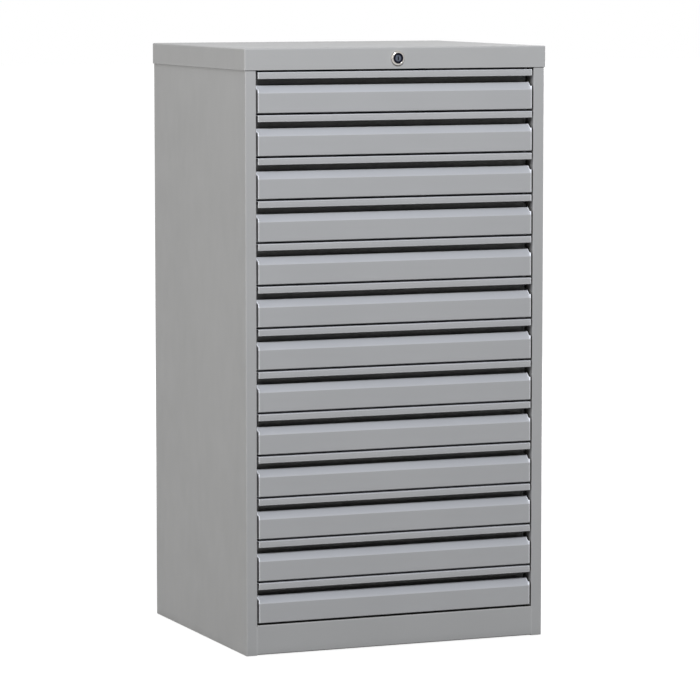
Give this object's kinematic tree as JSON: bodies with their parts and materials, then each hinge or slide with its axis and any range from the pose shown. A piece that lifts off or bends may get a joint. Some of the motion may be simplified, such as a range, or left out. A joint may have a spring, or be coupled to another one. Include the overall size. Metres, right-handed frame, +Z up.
{
  "type": "multi-drawer cabinet",
  "caption": "Tall grey steel cabinet with a stack of shallow drawers, finger recesses along their fronts, a lift-on top cap and one central lock.",
  "frame": {"origin": "on the floor, under the middle of the closed cabinet's whole box, lock included", "axes": "+Z up; the drawers open towards -Y, so -Y is the front; +X to the right seen from the front"},
  "size_m": [0.485, 0.4086, 0.9],
  "materials": {
    "body_paint": "light grey satin powder coat with a fine texture",
    "drawer_paint": "light grey satin powder coat",
    "tray_paint": "grey satin paint inside the drawers",
    "zinc_steel": "zinc plated, dull",
    "rivet_aluminium": "plain",
    "lock_chrome": "polished",
    "plug_metal": "dark, blued",
    "nylon": "natural nylon",
    "foot_plastic": "black moulded"
  },
  "bodies": {
    "carcass": {"side_panel_left": "body_paint", "side_panel_right": "body_paint", "back_panel": "body_paint", "top_cap": "body_paint", "plinth_panel": "body_paint", "lock_rail": "body_paint", "base_pan": "body_paint", "back_rivets": "rivet_aluminium", "levelling_feet": "foot_plastic", "runner_posts_left": "zinc_steel", "runner_posts_right": "zinc_steel", "runners_left": "zinc_steel", "runners_right": "zinc_steel", "lock_housing": "lock_chrome", "lock_nut": "zinc_steel", "lock_guides": "nylon"},
    "drawer_01": {"drawer_front_01": "drawer_paint", "drawer_tray_01": "tray_paint", "drawer_glides_01": "nylon"},
    "drawer_02": {"drawer_front_02": "drawer_paint", "drawer_tray_02": "tray_paint", "drawer_glides_02": "nylon"},
    "drawer_03": {"drawer_front_03": "drawer_paint", "drawer_tray_03": "tray_paint", "drawer_glides_03": "nylon"},
    "drawer_04": {"drawer_front_04": "drawer_paint", "drawer_tray_04": "tray_paint", "drawer_glides_04": "nylon"},
    "drawer_05": {"drawer_front_05": "drawer_paint", "drawer_tray_05": "tray_paint", "drawer_glides_05": "nylon"},
    "drawer_06": {"drawer_front_06": "drawer_paint", "drawer_tray_06": "tray_paint", "drawer_glides_06": "nylon"},
    "drawer_07": {"drawer_front_07": "drawer_paint", "drawer_tray_07": "tray_paint", "drawer_glides_07": "nylon"},
    "drawer_08": {"drawer_front_08": "drawer_paint", "drawer_tray_08": "tray_paint", "drawer_glides_08": "nylon"},
    "drawer_09": {"drawer_front_09": "drawer_paint", "drawer_tray_09": "tray_paint", "drawer_glides_09": "nylon"},
    "drawer_10": {"drawer_front_10": "drawer_paint", "drawer_tray_10": "tray_paint", "drawer_glides_10": "nylon"},
    "drawer_11": {"drawer_front_11": "drawer_paint", "drawer_tray_11": "tray_paint", "drawer_glides_11": "nylon"},
    "drawer_12": {"drawer_front_12": "drawer_paint", "drawer_tray_12": "tray_paint", "drawer_glides_12": "nylon"},
    "drawer_13": {"drawer_front_13": "drawer_paint", "drawer_tray_13": "tray_paint", "drawer_glides_13": "nylon"},
    "lock_cylinder": {"lock_plug": "plug_metal", "lock_cam": "zinc_steel"},
    "lock_link_bar": {"lock_link": "zinc_steel"},
    "lock_tooth_bar": {"lock_bar": "zinc_steel"}
  },
  "joints": [
    {"name": "drawer_01_slide", "type": "slide", "parent": "carcass", "child": "drawer_01", "axis": [0, -1, 0], "range_m": [0, 0.3]},
    {"name": "drawer_02_slide", "type": "slide", "parent": "carcass", "child": "drawer_02", "axis": [0, -1, 0], "range_m": [0, 0.3]},
    {"name": "drawer_03_slide", "type": "slide", "parent": "carcass", "child": "drawer_03", "axis": [0, -1, 0], "range_m": [0, 0.3]},
    {"name": "drawer_04_slide", "type": "slide", "parent": "carcass", "child": "drawer_04", "axis": [0, -1, 0], "range_m": [0, 0.3]},
    {"name": "drawer_05_slide", "type": "slide", "parent": "carcass", "child": "drawer_05", "axis": [0, -1, 0], "range_m": [0, 0.3]},
    {"name": "drawer_06_slide", "type": "slide", "parent": "carcass", "child": "drawer_06", "axis": [0, -1, 0], "range_m": [0, 0.3]},
    {"name": "drawer_07_slide", "type": "slide", "parent": "carcass", "child": "drawer_07", "axis": [0, -1, 0], "range_m": [0, 0.3]},
    {"name": "drawer_08_slide", "type": "slide", "parent": "carcass", "child": "drawer_08", "axis": [0, -1, 0], "range_m": [0, 0.3]},
    {"name": "drawer_09_slide", "type": "slide", "parent": "carcass", "child": "drawer_09", "axis": [0, -1, 0], "range_m": [0, 0.3]},
    {"name": "drawer_10_slide", "type": "slide", "parent": "carcass", "child": "drawer_10", "axis": [0, -1, 0], "range_m": [0, 0.3]},
    {"name": "drawer_11_slide", "type": "slide", "parent": "carcass", "child": "drawer_11", "axis": [0, -1, 0], "range_m": [0, 0.3]},
    {"name": "drawer_12_slide", "type": "slide", "parent": "carcass", "child": "drawer_12", "axis": [0, -1, 0], "range_m": [0, 0.3]},
    {"name": "drawer_13_slide", "type": "slide", "parent": "carcass", "child": "drawer_13", "axis": [0, -1, 0], "range_m": [0, 0.3]},
    {"name": "lock_turn", "type": "hinge", "parent": "carcass", "child": "lock_cylinder", "pos_m": [0, -0.2007, 0.8835], "axis": [0, 1, 0], "range_deg": [0, 90]},
    {"name": "lock_link_slide", "type": "slide", "parent": "carcass", "child": "lock_link_bar", "axis": [1, 0, 0], "range_m": [-0.01133, 0]},
    {"name": "lock_bar_lift", "type": "slide", "parent": "carcass", "child": "lock_tooth_bar", "axis": [0, 0, 1], "range_m": [0, 0.00949]}
  ],
  "couplings": [
    {"joint": "lock_turn", "follows": "lock_bar_lift", "rad_per_m": 165.46},
    {"joint": "lock_link_slide", "follows": "lock_bar_lift", "ratio": -1.1918}
  ]
}
